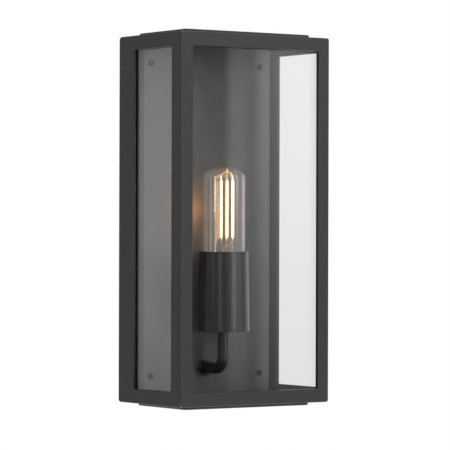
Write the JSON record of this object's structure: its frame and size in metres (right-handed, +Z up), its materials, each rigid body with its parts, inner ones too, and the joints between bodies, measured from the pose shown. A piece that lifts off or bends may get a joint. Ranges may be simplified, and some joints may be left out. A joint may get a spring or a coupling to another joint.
{
  "type": "outdoor wall lantern",
  "caption": "Black glazed box lantern for an outside wall: hinged glass front, clear side panes, bent arm, round lampholder and a tubular filament bulb.",
  "frame": {"origin": "centre of the wall plate's rear face, on the wall plane", "axes": "+Z up, -Y out from the wall towards the viewer, +X to the right seen from the front"},
  "size_m": [0.156, 0.1, 0.326],
  "materials": {
    "powder_coat": "fine-textured satin powder coat, anthracite black",
    "clear_glass": "clear float glass",
    "bulb_glass": "clear blown glass",
    "zinc_steel": "zinc-plated steel",
    "black_steel": "black oxide",
    "brass": "bright rolled brass",
    "nickel": "nickel plate",
    "magnet": "nickel-plated magnet",
    "foam": "closed-cell foam",
    "rubber": "soft rubber",
    "silicone": "matt silicone",
    "white_plastic": "moulded polyamide",
    "black_plastic": "moulded phenolic",
    "lead_plastic": "insulated lead",
    "black_glass": "vitreous insulator",
    "solder": "solder",
    "filament": "lit filament stick"
  },
  "bodies": {
    "housing": {"wall_plate": "zinc_steel", "cable_grommet": "rubber", "plate_standoffs": "zinc_steel", "wall_gasket": "foam", "terminal_block": "white_plastic", "terminal_screws": "zinc_steel", "earth_screw": "brass", "back_tray": "powder_coat", "tray_screws": "black_steel", "rear_flange": "powder_coat", "left_side_frame": "powder_coat", "right_side_frame": "powder_coat", "top_panel": "powder_coat", "bottom_panel": "powder_coat", "top_cover": "powder_coat", "bottom_cover": "powder_coat", "top_cover_screws": "black_steel", "bottom_cover_screws": "black_steel", "front_flange": "powder_coat", "door_gasket": "foam", "catch_magnets": "magnet", "left_glass": "clear_glass", "right_glass": "clear_glass", "left_glass_seal": "silicone", "right_glass_seal": "silicone", "hinge_frame_leaves": "black_steel", "hinge_pins": "zinc_steel", "arm_tube": "powder_coat", "arm_nuts": "black_steel", "arm_washer": "zinc_steel", "holder_cover": "powder_coat", "holder_nut": "zinc_steel", "lampholder_body": "black_plastic", "lampholder_sleeve": "brass", "lampholder_contact": "brass", "lamp_leads": "lead_plastic"},
    "door": {"door_frame": "powder_coat", "door_glass": "clear_glass", "door_glass_seal": "silicone", "catch_plates": "zinc_steel"},
    "bulb": {"bulb_glass": "bulb_glass", "bulb_stem": "bulb_glass", "bulb_filaments": "filament", "bulb_hoops": "nickel", "bulb_struts": "nickel", "bulb_cap": "nickel", "bulb_insulator": "black_glass", "bulb_contact": "solder"}
  },
  "joints": [
    {"name": "door_hinge", "type": "hinge", "parent": "housing", "child": "door", "pos_m": [0.0762, -0.09825, 0], "axis": [0, 0, 1], "range_deg": [0, 110]},
    {"name": "bulb_lift", "type": "slide", "parent": "housing", "child": "bulb", "axis": [0, 0, 1], "range_m": [0, 0.045]}
  ]
}
